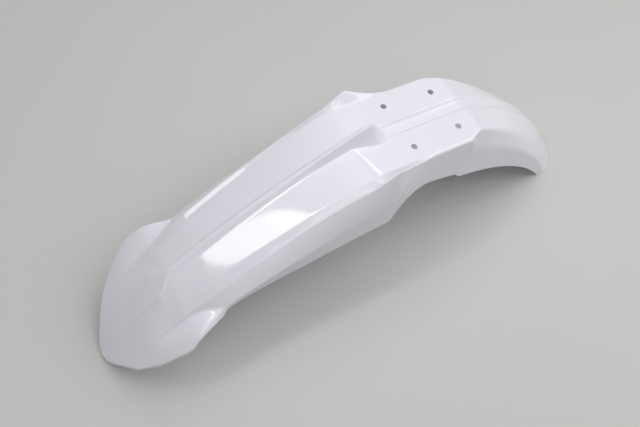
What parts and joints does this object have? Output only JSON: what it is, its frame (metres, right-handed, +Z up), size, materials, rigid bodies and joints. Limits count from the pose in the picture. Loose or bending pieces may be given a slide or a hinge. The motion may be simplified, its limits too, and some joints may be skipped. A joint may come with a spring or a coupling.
{
  "type": "motorcycle front mudguard",
  "caption": "Moulded off-road motorcycle front mudguard: ridged tongue with pointed nose and side skirts, flat bolt plate, and a rear arch that follows the wheel.",
  "frame": {"origin": "midway between the two front bolt holes, on the top face of the bolt plate", "axes": "+X towards the nose, +Y towards the rider's left, +Z up along the bolts"},
  "size_m": [0.7108, 0.1822, 0.2995],
  "materials": {
    "white_plastic": "gloss white injection moulding"
  },
  "bodies": {
    "root": {"mudguard_shell": "white_plastic"}
  },
  "joints": []
}
